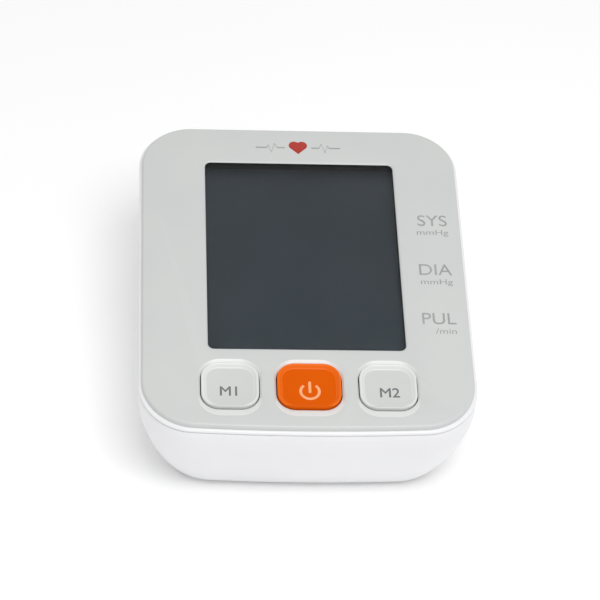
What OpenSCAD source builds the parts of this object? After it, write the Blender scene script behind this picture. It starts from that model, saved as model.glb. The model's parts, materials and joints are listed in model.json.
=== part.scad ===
// Upper arm blood pressure monitor: desk console with a sloping face, a large
// segment display, three keys, and the pump, valve and battery bay inside.
// +Z is up, the keys are towards -Y, and the four feet stand on z = 0.

/* [Body] */
// Width of the casing across X
body_w = 114.4; // [110:0.2:120]
// Length of the casing along Y
body_l = 136.8; // [132:0.2:142]
// Height of the face above the table at the front edge
front_h = 38.5; // [37.5:0.5:40]
// Slope of the face, rising towards the back
tilt = 6; // [4:0.5:7]
// Corner radius of the casing in plan
corner_r = 18; // [14:0.5:19]
// How far the front corners stand back from the middle of the front edge
front_bow = 2; // [0:0.2:2.4]
// Wall thickness of the two casing halves
wall = 2.2; // [1.8:0.1:2.4]
// How far the base is drawn in from the casing's side
base_inset = 9.5; // [9:0.1:9.8]
// Height of the feet below the base
foot_h = 1.2; // [0.8:0.1:1.6]

/* [Face] */
// Gap between the side of the casing and the edge of the face panel
panel_inset = 1.0; // [0.6:0.1:1.4]
// Thickness of the face panel
panel_t = 1.5; // [1.4:0.1:1.6]
// Depth below the face at which the two casing halves meet
split_w = 2.9; // [2.8:0.1:3.2]
// Display window, across and along the face
window = [67.6, 85.7];
// Centre of the display window along the face
window_v = 8.55; // [7:0.05:9]
// Corner radius of the display window
window_r = 2.2; // [1:0.1:4]

/* [Keys] */
// Distance between neighbouring keys
key_pitch = 26.64; // [26.2:0.02:27]
// Position of the row of keys along the face
key_v = -50.3; // [-51:0.1:-50]
// Cap of each memory key
side_cap = [19.4, 18.8];
// Cap of the power key
power_cap = [21.6, 18.8];
// Corner radius of the caps
cap_r = 6.2; // [4:0.1:7]
// Running gap around a cap
key_gap = 0.35; // [0.3:0.05:0.4]
// Travel of a key
key_travel = 1.0; // [0.6:0.1:1.2]

/* [Batteries] */
// Radius of an AA cell
cell_r = 7.1; // [7:0.05:7.2]
// Length of an AA cell with its positive nub
cell_l = 50.5; // [49.5:0.1:50.5]
// Distance between neighbouring cells
cell_pitch = 14.6; // [14.5:0.1:14.8]
// Length of a compressed contact spring
spring_l = 6.2; // [5.5:0.1:6.6]
// Thickness of the battery door
door_t = 2.4; // [2.2:0.1:2.6]
// Half width of the battery door
door_hx = 33; // [32.5:0.1:33]

/* [Air] */
// Bore that the cuff's air plug is pushed into
jack_r = 3.6; // [3:0.1:4]
// Depth of that bore
jack_l = 11; // [9:0.5:11]
// Outer radius of the silicone air tubes
tube_r = 2.3; // [2:0.1:2.4]

/* [Hidden] */
$fn = 48;
eps = 0.01;
slope = tan(tilt);
face_z = front_h + body_l / 2 * slope;      // height of the face's centre
white = [0.93, 0.93, 0.93];
panel_grey = [0.82, 0.83, 0.81];
dark = [0.12, 0.12, 0.13];
steel = [0.72, 0.73, 0.75];
board_green = [0.06, 0.32, 0.18];

// Levels below the face, measured square to it
deck_top = -panel_t;
deck_t = split_w - panel_t;
glass_top = -4.0;
glass_t = 1.1;
board_top = -10.0;
board_t = 1.6;
board = [79, 125];
lcd_glass = [74, 90.5];
lcd_v = 8.25;
zebra_v = lcd_v - 43.55;
key_x = [-key_pitch, 0, key_pitch];
boss_xy = [[-43, -40], [43, -40], [-43, 40], [43, 40]];
board_posts = [[-13.9, -59.5], [13.9, -59.5], [-35.5, 59.5], [35.5, 59.5]];
foot_xy = [[-38.8, -48], [38.8, -48], [-38.8, 49.3], [38.8, 49.3]];
foot_r = 4.8;
boss_split = 16;                             // height at which the screw bosses meet

// Battery bay: inner faces
bay_hx = 30;
bay_y = [-7, 50.5];
bay_top = 19.6;
bay_wall = 1.6;
cell_z = foot_h + door_t + 0.6 + cell_r;
cell_x = [for (i = [0:3]) (i - 1.5) * cell_pitch];
plate_t = 0.4;
hinge_y = bay_y[1] + 3.5;
hinge_z = foot_h + door_t / 2;
trunnion_r = 0.7;
door_front = bay_y[0] - 3.5;

// Air parts
jack_y = 30;
jack_z = 28.6;
jack_face = -body_w / 2 + 1.2;
pump_y = -32;
pump_z = 16.2;
motor_r = 10.2;
head_r = 11.5;
head_x = -9;
nozzle_z = 22;
manifold_y = -14.3;
valve_x = 28;
valve_z = foot_h + 8.9;
manifold_z = valve_z;
sensor_x = 22;
port_x = 20;
port_z = 32;
port_face = body_l / 2 - 1.6;
port_half = [4.47, 1.63];

// Height of the circuit board's underside, and of the sensor that hangs below it
function board_under(y) = face_z + y * slope + (board_top - board_t) / cos(tilt);
sensor_z = board_under(manifold_y) - 4.7;

// ---------- Outlines and lofts ----------

function corner(cx, cy, r, a0, steps = 8) =
    [for (i = [0:steps]) [cx + r * cos(a0 + 90 * i / steps), cy + r * sin(a0 + 90 * i / steps)]];

// Plan of the casing, drawn in by inset; its front corners stand back
function casing_plan(inset) =
    let (hx = body_w / 2 - inset,
         hy = body_l / 2 - inset,
         r = corner_r - 0.35 * inset,
         flat = concat(corner(hx - r, hy - r, r, 0), corner(r - hx, hy - r, r, 90),
                       corner(r - hx, r - hy, r, 180),
                       [for (i = [1:5]) [(i / 3 - 1) * (hx - r), -hy]],
                       corner(hx - r, r - hy, r, 270)))
    [for (p = flat) [p.x, p.y + (p.y < 0 ? front_bow * pow(p.x / hx, 2) * -p.y / hy : 0)]];

// Ring of the casing parallel to the face, at depth w below it
function face_ring(inset, w) =
    [for (p = casing_plan(inset)) [p.x, p.y, face_z + p.y * slope + w / cos(tilt)]];

// Ring between the sloping joint (s = 0) and the level base (s = 1)
function side_ring(inset, w, base, s) =
    [for (p = casing_plan(inset))
        [p.x, p.y, (face_z + p.y * slope + w / cos(tilt)) * (1 - s) + base * s]];

// How far the side has drawn in at a share s of its height, below an upright belt
belt = 0.2;
roundness = 1.33;
draft = 0.8;
function draw_in(s) =
    let (f = max(0, (s - belt) / (1 - belt)))
    base_inset * (1 - pow(1 - pow(f, roundness), 1 / roundness)) + draft * s;

function rounded_ring(size, r, z, y = 0) =
    [for (p = concat(corner(size.x / 2 - r, size.y / 2 - r, r, 0),
                     corner(r - size.x / 2, size.y / 2 - r, r, 90),
                     corner(r - size.x / 2, r - size.y / 2, r, 180),
                     corner(size.x / 2 - r, r - size.y / 2, r, 270))) [p.x, p.y + y, z]];

// Closed skin through rings of equal length, listed upwards or round a rim
module loft(rings) {
    n = len(rings[0]);
    last = len(rings) - 1;
    sides = [for (i = [0:last - 1], j = [0:n - 1])
        let (k = (j + 1) % n, a = i * n, b = a + n)
        each [[a + j, b + j, b + k], [a + j, b + k, a + k]]];
    polyhedron(points = [for (ring = rings) each ring],
               faces = concat([[for (j = [0:n - 1]) j]], sides,
                              [[for (j = [0:n - 1]) last * n + n - 1 - j]]));
}

// Slab with round corners, standing on z = 0
module slab(size, r, h) {
    translate([-size.x / 2 + r, -size.y / 2, 0]) cube([size.x - 2 * r, size.y, h]);
    if (size.y > 2 * r + eps)
        translate([-size.x / 2, -size.y / 2 + r, 0]) cube([size.x, size.y - 2 * r, h]);
    for (sx = [-1, 1], sy = [-1, 1])
        translate([sx * (size.x / 2 - r), sy * (size.y / 2 - r), 0]) cylinder(h = h, r = r);
}

module block(size) { translate([-size.x / 2, -size.y / 2, 0]) cube(size); }

module on_face() { translate([0, 0, face_z]) rotate([tilt, 0, 0]) children(); }

module along_x(x0, x1, r) { translate([x0, 0, 0]) rotate([0, 90, 0]) cylinder(h = x1 - x0, r = r); }

module along_y(y0, y1, r) { translate([0, y0, 0]) rotate([-90, 0, 0]) cylinder(h = y1 - y0, r = r); }

// Round-section sweep along smooth points; up is never parallel to the path
function unit(v) = v / norm(v);
function spline(p, steps) =
    [for (i = [0:len(p) - 2], k = [0:steps - 1])
        let (t = k / steps,
             a = p[max(i - 1, 0)], b = p[i], c = p[i + 1], d = p[min(i + 2, len(p) - 1)])
        0.5 * (2 * b + (c - a) * t + (2 * a - 5 * b + 4 * c - d) * t * t
               + (3 * b - a - 3 * c + d) * t * t * t),
     p[len(p) - 1]];
function tangent(p, i) = unit(p[min(i + 1, len(p) - 1)] - p[max(i - 1, 0)]);
module sweep(path, r, up, sides = 8) {
    loft([for (i = [0:len(path) - 1])
        let (t = tangent(path, i), a = unit(cross(up, t)), b = cross(t, a))
        [for (j = [0:sides - 1])
            path[i] + r * (cos(360 * j / sides) * a + sin(360 * j / sides) * b)]]);
}

// ---------- Casing ----------

side_steps = [1, 0.97, 0.92, 0.84, 0.74, 0.62, 0.48, 0.34, 0.2, 0.1, 0];

module casing_solid(shrink, floor_z) {
    loft([for (s = side_steps)
        side_ring(draw_in(s) + shrink, -split_w - 0.4 + (shrink > 0 ? 2 : 0) * (1 - s), floor_z, s)]);
}

module bottom_bosses() {
    for (p = boss_xy) translate([p.x, p.y, foot_h]) cylinder(h = boss_split - foot_h, r = 4);
}

module bay_box() {
    len_y = bay_y[1] - bay_y[0] + 2 * bay_wall;
    translate([-bay_hx - bay_wall, bay_y[0] - bay_wall, foot_h])
        cube([2 * (bay_hx + bay_wall), len_y, bay_top + bay_wall - foot_h]);
}

module pump_saddle(x) {
    difference() {
        translate([x, pump_y - 13, foot_h + 1]) cube([2, 26, pump_z - foot_h - 3]);
        translate([0, pump_y, pump_z]) along_x(x - 1, x + 3, motor_r + 2.1);
    }
}

module bottom_shell() color(white) {
    difference() {
        union() {
            difference() {
                casing_solid(0, foot_h);
                casing_solid(wall, foot_h + wall);
            }
            intersection() {
                casing_solid(0.4, foot_h + 0.2);
                union() {
                    bottom_bosses();
                    bay_box();
                    translate([0, (door_front + hinge_y) / 2 + 0.5, foot_h + wall - 0.2])
                        block([2 * door_hx + 4, hinge_y - door_front + 5, 2.4]);
                    for (x = [-30, -16]) pump_saddle(x);
                    for (side = [-1, 1]) translate([side * (door_hx + 1.9), hinge_y, foot_h])
                        block([3, 5, 4.4]);
                    translate([valve_x, -38, foot_h + 1]) block([15, 23, 1.9]);
                    for (side = [-1, 1]) translate([port_x + side * 7.6, 60, 26.5]) block([1.6, 20, 5]);
                }
            }
        }
        // battery bay and door opening
        translate([-bay_hx, bay_y[0], foot_h - 1])
            cube([2 * bay_hx, bay_y[1] - bay_y[0], bay_top - foot_h + 1]);
        translate([-door_hx - 0.3, door_front - 0.3, foot_h - 1])
            cube([2 * door_hx + 0.6, hinge_y - door_front + 0.3, door_t + 1.3]);
        translate([0, hinge_y, hinge_z]) along_x(-door_hx - 0.3, door_hx + 0.3, door_t / 2 + 0.3);
        translate([-door_hx - 0.3, hinge_y - eps, foot_h - 1])
            cube([2 * door_hx + 0.6, door_t / 2 + 0.3, 1 + door_t / 2]);
        translate([0, hinge_y, hinge_z]) along_x(-door_hx - 2.3, door_hx + 2.3, trunnion_r + 0.06);
        translate([0, door_front + 2.4, foot_h]) block([13, 2.2, 4.4]);
        // slots for the contact tabs in the bay's roof
        for (side = [-1, 1]) translate([side * cell_x[3], bay_y[0] + plate_t / 2, bay_top - 1])
            block([4.4, 1.2, 4]);
        // screw wells and holes
        for (p = boss_xy) translate([p.x, p.y, 0]) {
            cylinder(h = 9, r = 3.0);
            cylinder(h = boss_split + 1, r = 1.7);
        }
        // foot pockets
        for (p = foot_xy) translate([p.x, p.y, 0]) cylinder(h = foot_h + 1, r = foot_r + 0.1);
        // air socket hole and charging port hole
        translate([0, jack_y, jack_z]) along_x(-body_w / 2 - 1, -body_w / 2 + 8, 6.3);
        translate([0, jack_y, jack_z]) along_x(jack_face + 4.3, jack_face + 8, 7.7);
        translate([port_x, body_l / 2 - 8, port_z]) rotate([-90, 0, 0])
            slab([2 * port_half.x + 0.4, 2 * port_half.y + 0.4], port_half.y + 0.2, 12);
        translate([port_x, body_l / 2 - 9.2, port_z - 2.8]) block([14.4, 12.8, 1.2]);
    }
}

module key_opening(size, grow, depth) {
    translate([0, 0, -depth]) slab([size.x + 2 * grow, size.y + 2 * grow], cap_r + grow, depth + 2);
}

function cap_size(i) = i == 1 ? power_cap : side_cap;

module top_shell() color(white) {
    difference() {
        union() {
            loft([face_ring(0, -split_w), face_ring(0, -2.5), face_ring(0.12, -2.1),
                  face_ring(0.5, -1.85), face_ring(1.9, -1.8), face_ring(1.9, deck_top)]);
            // tongue that seats inside the lower half
            difference() {
                loft([face_ring(wall + 1.3, -split_w - 2), face_ring(wall + 0.1, -split_w - 1.4),
                      face_ring(wall + 0.1, deck_top - deck_t / 2)]);
                loft([face_ring(wall + 1.4, -split_w - 3), face_ring(wall + 1.4, deck_top)]);
            }
            // screw bosses that come down to meet those of the lower half
            for (p = boss_xy) intersection() {
                translate([p.x, p.y, boss_split]) cylinder(h = 40, r = 3.2);
                on_face() translate([0, 0, deck_top - 60]) block([200, 200, 60 - deck_t / 2]);
            }
            on_face() for (p = board_posts) translate([p.x, p.y, board_top])
                cylinder(h = -board_top + deck_top - deck_t / 2, r = 2.2);
        }
        for (p = boss_xy) translate([p.x, p.y, boss_split - 1]) cylinder(h = 14, r = 1.5);
        on_face() {
            translate([0, window_v, -6]) slab([window.x + 2.8, window.y + 2.8], window_r + 1.4, 6);
            for (i = [0:2]) translate([key_x[i], key_v, 0]) key_opening(cap_size(i), key_gap, 6);
            for (p = board_posts) translate([p.x, p.y, board_top - 1]) cylinder(h = 6, r = 1.0);
        }
    }
}

module front_panel() color(panel_grey) {
    difference() {
        loft([face_ring(panel_inset, -panel_t), face_ring(panel_inset, -0.8),
              face_ring(panel_inset + 0.1, -0.45), face_ring(panel_inset + 0.35, -0.15),
              face_ring(panel_inset + 0.8, 0)]);
        on_face() {
            translate([0, window_v, -panel_t - 1]) slab(window, window_r, panel_t + 2);
            translate([0, window_v, -panel_t - 1])
                slab([window.x + 3, window.y + 3], window_r + 1.5, panel_t + 1 - 0.5);
            translate([0, window_v, 0])
                loft([rounded_ring(window, window_r, -0.3),
                      rounded_ring([window.x + 1, window.y + 1], window_r + 0.5, 0.2)]);
            for (i = [0:2]) translate([key_x[i], key_v, 0]) {
                size = cap_size(i);
                key_opening(size, key_gap, 3);
                loft([rounded_ring([size.x + 0.8, size.y + 0.8], cap_r + 0.4, -0.7),
                      rounded_ring([size.x + 2.1, size.y + 5.2], cap_r + 1.6, 0.05, -0.7),
                      rounded_ring([size.x + 2.1, size.y + 5.2], cap_r + 1.6, 0.4, -0.7)]);
            }
        }
    }
}

module case_screws() color(steel) {
    for (p = boss_xy) translate([p.x, p.y, 0]) {
        difference() {
            translate([0, 0, 7]) cylinder(h = 2, r = 2.7);
            for (a = [0, 90]) translate([0, 0, 6.5]) rotate([0, 0, a]) block([2.6, 0.6, 1.5]);
        }
        translate([0, 0, 9]) cylinder(h = 17, r = 1.45);
    }
}

module rubber_feet() color(dark) {
    for (p = foot_xy) translate([p.x, p.y, 0]) {
        cylinder(h = 0.4, r1 = foot_r - 0.5, r2 = foot_r);
        translate([0, 0, 0.4]) cylinder(h = foot_h + 0.6, r = foot_r);
    }
}

// ---------- Battery door and cells ----------

module battery_door() color(white) {
    difference() {
        union() {
            translate([-door_hx, door_front, foot_h])
                cube([2 * door_hx, hinge_y - door_front, door_t]);
            translate([0, hinge_y, hinge_z]) {
                along_x(-door_hx, door_hx, door_t / 2);
                along_x(-door_hx - 1.8, door_hx + 1.8, trunnion_r);
            }
            // latch finger rising behind the front edge
            translate([0, door_front + 2.4, foot_h + door_t - eps]) block([12, 1.2, 0.9]);
        }
        // thumb hollow and the slots that free the latch finger
        translate([0, door_front + 6.4, foot_h - 7.2]) sphere(r = 8.2);
        for (side = [-1, 1]) translate([side * 7, door_front + 4.5, foot_h - 1])
            block([0.8, 9.2, door_t + 2]);
        for (i = [0:4]) translate([0, door_front + 14 + 2.2 * i, foot_h - 0.5])
            block([16 - 2 * i, 1, 0.9]);
    }
}

module aa_cells() {
    for (i = [0:3]) translate([cell_x[i], 0, cell_z]) {
        flip = i % 2 == 0;
        y0 = flip ? bay_y[1] - plate_t - cell_l : bay_y[0] + plate_t + 1.2;
        color([0.15, 0.16, 0.18]) along_y(y0, y0 + cell_l - 1.2, cell_r);
        color(steel) along_y(flip ? y0 + cell_l - 1.2 - eps : y0 - 1.2, 
                             flip ? y0 + cell_l : y0 + eps, 2.75);
    }
}

function coil_path(turns, l) =
    [for (k = [0:turns * 16])
        let (a = 360 * k / 16, r = 3.9 - 1.3 * k / (turns * 16))
        [r * cos(a), l * k / (turns * 16), r * sin(a)]];

module battery_springs() color(steel) {
    for (i = [0:3]) {
        front = i % 2 == 0;
        translate([cell_x[i], front ? bay_y[0] + plate_t + 0.3 : bay_y[1] - plate_t - 0.3, cell_z])
            mirror([0, front ? 0 : 1, 0]) sweep(coil_path(3, spring_l - 0.7), 0.3, [0, 1, 0.01], 6);
    }
}

module contact_plate(x, w, y) {
    translate([x, y + plate_t / 2, cell_z - 5.5]) block([w, plate_t, 11]);
}

// Plates behind the springs and nubs; the outer front two carry solder tabs
module contact_plates() color(steel) {
    for (side = [-1, 1]) {
        contact_plate(side * cell_x[3], 11, bay_y[0]);
        translate([side * cell_x[3], bay_y[0] + plate_t / 2, cell_z]) block([3.6, plate_t, 12.5]);
        contact_plate(side * cell_pitch, cell_pitch + 11, bay_y[1] - plate_t);
    }
    contact_plate(0, cell_pitch + 11, bay_y[0]);
}

// ---------- Display stack ----------

module display_window() color([0.75, 0.8, 0.85, 0.4])
    on_face() translate([0, window_v, -panel_t])
        slab([window.x + 2.6, window.y + 2.6], window_r + 1.3, panel_t - 0.5);

module window_gasket() color(dark)
    on_face() translate([0, window_v, glass_top]) difference() {
        slab([window.x + 2.5, window.y + 2.5], window_r + 1.3, -panel_t - glass_top);
        translate([0, 0, -1]) slab(window, window_r, 5);
    }

module lcd_glass() color([0.22, 0.25, 0.28])
    on_face() {
        translate([0, lcd_v, glass_top - glass_t]) block([lcd_glass.x, lcd_glass.y, glass_t]);
        translate([0, lcd_v + 1.75, glass_top - 2 * glass_t])
            block([lcd_glass.x, lcd_glass.y - 3.5, glass_t]);
    }

module lcd_holder() color(white)
    on_face() difference() {
        translate([0, lcd_v, board_top]) block([78, 94.5, 6.2]);
        translate([0, lcd_v, glass_top - 2 * glass_t])
            block([lcd_glass.x + 0.3, lcd_glass.y + 0.3, 5]);
        translate([0, lcd_v + 2.5, board_top - 1]) block([71, 81.5, 9]);
        translate([0, zebra_v, board_top - 1]) block([67, 2.6, 9]);
    }

module backlight() color([0.9, 0.95, 1.0])
    on_face() difference() {
        translate([0, lcd_v + 2.5, board_top + 0.1]) block([70.6, 81, 3.5]);
        for (x = [-30:12:30]) translate([x, lcd_v - 37.5, board_top - 1]) block([3.2, 1.8, 3]);
    }

module zebra_strip() color([0.5, 0.5, 0.52])
    on_face() translate([0, zebra_v, board_top]) block([66.4, 2.2, glass_top - glass_t - board_top]);

// ---------- Circuit board ----------

module main_board() color(board_green)
    on_face() translate([0, 0, board_top - board_t]) difference() {
        block([board.x, board.y, board_t]);
        for (p = board_posts) translate([p.x, p.y, -1]) cylinder(h = 4, r = 1.3);
    }

module board_screws() color(steel)
    on_face() for (p = board_posts) translate([p.x, p.y, 0]) {
        translate([0, 0, board_top - board_t - 1.4]) cylinder(h = 1.4, r = 2.0);
        translate([0, 0, board_top - board_t]) cylinder(h = 6, r = 0.95);
    }

module under_board() on_face() translate([0, 0, board_top - board_t]) mirror([0, 0, 1]) children();

module controller_chip() color(dark)
    under_board() translate([-4, 14, 0]) {
        translate([0, 0, 0.1]) block([10, 10, 1.4]);
        for (a = [0, 90], side = [-1, 1], i = [-5:5]) rotate([0, 0, a])
            translate([i * 0.8, side * 5.5, 0]) block([0.3, 1.2, 0.3]);
    }

module board_parts() color([0.3, 0.28, 0.25]) under_board() {
    for (x = [14, 24], y = [6, 18]) translate([x, y, 0]) block([5, 4, 1.5]);
    for (x = [-24:4:-12]) translate([x, 30, 0]) block([1.2, 2, 0.7]);
    for (y = [2:4:14]) translate([-16, y, 0]) block([2, 1.2, 0.7]);
    for (y = [-4, 6]) translate([-33.5, y, 0]) cylinder(h = 7, r = 3.1);
    translate([8, 32, 0]) block([11, 4.6, 3.6]);
}

module buzzer() color(dark)
    under_board() translate([26, 36, 0]) difference() {
        cylinder(h = 5.5, r = 6);
        translate([0, 0, 4.5]) cylinder(h = 2, r = 1.2);
    }

module pressure_sensor() color([0.85, 0.85, 0.8])
    translate([sensor_x, manifold_y, sensor_z]) {
        block([8, 8, 4]);
        difference() {
            translate([0, 0, -5]) cylinder(h = 5 + eps, r = 1.5);
            translate([0, 0, -5.5]) cylinder(h = 5, r = 0.7);
        }
    }

// ---------- Keys ----------

// Dished cap with a rolled rim, retaining lugs and a press post
module key_cap(size) {
    function ring(inset, z) =
        rounded_ring([size.x - 2 * inset, size.y - 2 * inset], max(cap_r - inset, 2), z);
    on_face() translate([0, key_v, 0]) {
        difference() {
            union() {
                loft([ring(0, -5.2), ring(0, 0.25), ring(0.1, 0.48), ring(0.35, 0.6),
                      ring(0.6, 0.52), ring(0.95, 0.2), ring(1.45, -0.25), ring(1.95, -0.5)]);
                translate([0, 0, -5.2]) slab([12, size.y + 1.8], 1.5, 4.9 - split_w);
            }
            translate([0, 0, -6]) slab([size.x - 3, size.y - 3], cap_r - 1.5, 4);
        }
        translate([0, 0, board_top + 3.1]) cylinder(h = 6, r = 2.2);
    }
}

module button_m1() color(panel_grey) translate([key_x[0], 0, 0]) key_cap(side_cap);
module button_power() color([0.89, 0.38, 0.02]) key_cap(power_cap);
module button_m2() color(panel_grey) translate([key_x[2], 0, 0]) key_cap(side_cap);

// Silicone dome with its contact pill, one under each cap
module key_dome(x) color([0.75, 0.75, 0.72])
    on_face() translate([x, key_v, board_top]) rotate_extrude()
        polygon([[0, 1.6], [1.5, 1.6], [1.8, 0.8], [3.2, 0], [6, 0], [6, 0.8], [4.2, 0.8],
                 [2.6, 2.6], [2.2, 3.0], [0, 3.0]]);
module dome_m1() key_dome(key_x[0]);
module dome_power() key_dome(key_x[1]);
module dome_m2() key_dome(key_x[2]);

// ---------- Pump, valve and air line ----------

module pump_motor() color(steel)
    translate([0, pump_y, pump_z]) {
        along_x(-33, head_x, motor_r);
        along_x(-35.4, -33 + eps, 3);
        along_x(-37, -35.4 + eps, 1);
    }

module pump_head() color([0.9, 0.9, 0.88])
    translate([0, pump_y, 0]) {
        translate([0, 0, pump_z]) {
            along_x(head_x, head_x + 9, head_r);
            along_x(head_x + 9, head_x + 10, head_r - 0.6);
            along_x(head_x + 10, head_x + 21, head_r);
        }
        difference() {
            translate([0, 0, nozzle_z]) along_x(head_x + 21 - eps, head_x + 27, 1.6);
            translate([0, 0, nozzle_z]) along_x(head_x + 22, head_x + 28, 0.8);
        }
    }

module pump_sleeve() color([0.2, 0.2, 0.2])
    translate([0, pump_y, pump_z]) difference() {
        along_x(-32, -12, motor_r + 2);
        along_x(-33, -11, motor_r);
    }

module release_valve() color([0.5, 0.5, 0.55]) {
    translate([valve_x, -38, foot_h + 2.9]) difference() {
        block([12, 20, 12]);
        translate([0, 0, 1.5]) block([20, 15, 9]);
    }
    translate([valve_x, 0, valve_z]) {
        along_y(-45.6, -30.4, 4.2);
        difference() {
            along_y(-28, -21.2, 1.6);
            along_y(-27, -20, 0.8);
        }
    }
}

module air_manifold() color([0.85, 0.87, 0.9])
    translate([0, manifold_y, manifold_z]) difference() {
        union() {
            along_x(14, 32, 1.6);
            along_x(16.5, 29.5, 2.6);
            translate([sensor_x, 0, 0]) cylinder(h = 6.5, r = 1.6);
            translate([valve_x, 0, 0]) along_y(-6, 0, 1.6);
        }
        along_x(13, 33, 0.8);
        translate([sensor_x, 0, 0]) cylinder(h = 8, r = 0.8);
        translate([valve_x, 0, 0]) along_y(-8, 0, 0.8);
    }

// Tube routes: the first and last three points lie on a nozzle's axis
pump_route = [[12.6, pump_y, nozzle_z], [18.4, pump_y, nozzle_z], [24, pump_y, nozzle_z],
              [36, -29, 21], [41.5, -21, 16], [40.5, -15.5, 11], [36, manifold_y, manifold_z],
              [33, manifold_y, manifold_z], [29.9, manifold_y, manifold_z]];
jack_route = [[-42.6, jack_y, jack_z], [-36.6, jack_y, jack_z], [-31, jack_y, jack_z],
              [-22, 27, 28.4], [-15, 18, 27], [-13, 5, 26.2], [-12, -8, 25.2], [-10, -13.6, 19.5],
              [-4, manifold_y, 13], [4, manifold_y, manifold_z], [10, manifold_y, manifold_z],
              [16, manifold_y, manifold_z]];
tube_bore = 1.75;

module bent_tube(route) {
    path = spline(route, 4);
    difference() {
        sweep(path, tube_r, [0, 0, 1]);
        sweep(path, tube_bore, [0, 0, 1]);
    }
}

module air_tubes() color([0.9, 0.9, 0.86, 0.8]) {
    bent_tube(pump_route);
    bent_tube(jack_route);
    translate([valve_x, 0, valve_z]) difference() {
        along_y(-27.6, -17.2, tube_r);
        along_y(-28, -17, tube_bore);
    }
    translate([sensor_x, manifold_y, 0]) difference() {
        translate([0, 0, manifold_z + 2.9]) cylinder(h = sensor_z - manifold_z - 3.3, r = tube_r);
        translate([0, 0, manifold_z]) cylinder(h = 20, r = tube_bore);
    }
}

module air_socket() color([0.3, 0.3, 0.32])
    translate([0, jack_y, jack_z]) difference() {
        union() {
            along_x(jack_face, jack_face + 13, 6.2);
            along_x(jack_face + 4.4, jack_face + 5.9, 7.6);
            along_x(jack_face + 13 - eps, jack_face + 19, 1.6);
        }
        along_x(jack_face - 1, jack_face + jack_l, jack_r);
        along_x(jack_face, jack_face + 20, 0.9);
        translate([jack_face, 0, 0]) rotate([0, 90, 0])
            cylinder(h = 1.2, r1 = jack_r + 1.2, r2 = jack_r, center = true);
    }

// ---------- Charging port and wires ----------

module usb_port() color(steel)
    translate([port_x, port_face, port_z]) rotate([90, 0, 0]) {
        difference() {
            slab(2 * port_half, port_half.y, 7.3);
            translate([0, 0, -1]) slab([2 * port_half.x - 0.6, 2 * port_half.y - 0.6],
                                       port_half.y - 0.3, 7.6);
        }
        translate([-3.3, -0.35, 0.8]) cube([6.6, 0.7, 6]);
    }

module usb_board() color(board_green)
    translate([port_x, body_l / 2 - 9, port_z - port_half.y - 1]) block([14, 12.2, 1]);

// Pairs of thin wires; each route starts at a part and ends on the board
battery_wire = [[21.9, -7.8, 22.4], [22.6, -8.2, 25], [26, -6, 28], [30, 0, board_under(0) - 0.9]];
motor_wire = [[-36.6, -34.5, 19], [-38, -31, 23.5], [-37.2, -27, 28.2], [-36.6, -22, board_under(-22) - 0.9]];
valve_wire = [[35, -46, 13], [37, -47, 18], [36, -45, 22], [32, -42, board_under(-42) - 0.9]];
usb_wire = [[17, 57, 31.1], [17, 52, 32], [18, 46, 34.5], [18, 42, board_under(42) - 0.9]];

module wires() {
    module pair(route, shade) for (k = [0, 1])
        color(k == 0 ? shade : dark)
            sweep([for (p = spline(route, 4)) p + [k * 1.8, 0, 0]], 0.6, [1, 0.02, 0], 6);
    for (side = [-1, 1]) color(side > 0 ? [0.8, 0.1, 0.1] : dark)
        sweep([for (p = spline(battery_wire, 4)) [side * p.x, p.y, p.z]], 0.6, [1, 0.02, 0], 6);
    pair(motor_wire, [0.8, 0.1, 0.1]);
    pair(valve_wire, [0.85, 0.7, 0.1]);
    pair(usb_wire, [0.8, 0.1, 0.1]);
}

bottom_shell();
top_shell();
front_panel();
case_screws();
rubber_feet();
battery_door();
aa_cells();
battery_springs();
contact_plates();
display_window();
window_gasket();
lcd_glass();
lcd_holder();
backlight();
zebra_strip();
main_board();
board_screws();
controller_chip();
board_parts();
buzzer();
pressure_sensor();
button_m1();
button_power();
button_m2();
dome_m1();
dome_power();
dome_m2();
pump_motor();
pump_head();
pump_sleeve();
release_valve();
air_manifold();
air_tubes();
air_socket();
usb_port();
usb_board();
wires();
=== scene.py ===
# Upper arm blood pressure monitor: the looks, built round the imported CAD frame.
import json
import math
import bmesh
import bpy
from mathutils import Matrix, Vector


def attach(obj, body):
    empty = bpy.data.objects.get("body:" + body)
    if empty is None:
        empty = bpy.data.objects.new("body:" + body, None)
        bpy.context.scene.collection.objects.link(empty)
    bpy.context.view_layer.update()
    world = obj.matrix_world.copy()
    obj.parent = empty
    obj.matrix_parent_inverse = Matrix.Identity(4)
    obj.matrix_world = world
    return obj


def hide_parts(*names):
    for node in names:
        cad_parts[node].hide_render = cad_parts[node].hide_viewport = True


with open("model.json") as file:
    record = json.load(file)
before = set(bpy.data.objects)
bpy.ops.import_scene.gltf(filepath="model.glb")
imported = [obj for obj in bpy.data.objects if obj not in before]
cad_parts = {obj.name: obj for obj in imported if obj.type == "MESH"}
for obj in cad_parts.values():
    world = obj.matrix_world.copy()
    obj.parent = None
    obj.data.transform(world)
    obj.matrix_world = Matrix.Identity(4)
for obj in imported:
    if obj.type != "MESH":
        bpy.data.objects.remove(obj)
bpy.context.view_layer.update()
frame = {"nodes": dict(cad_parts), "record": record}

MM = 0.001
TILT = math.radians(6)
SLOPE = math.tan(TILT)

# ---------- Measures of the casing, in millimetres ----------

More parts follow.
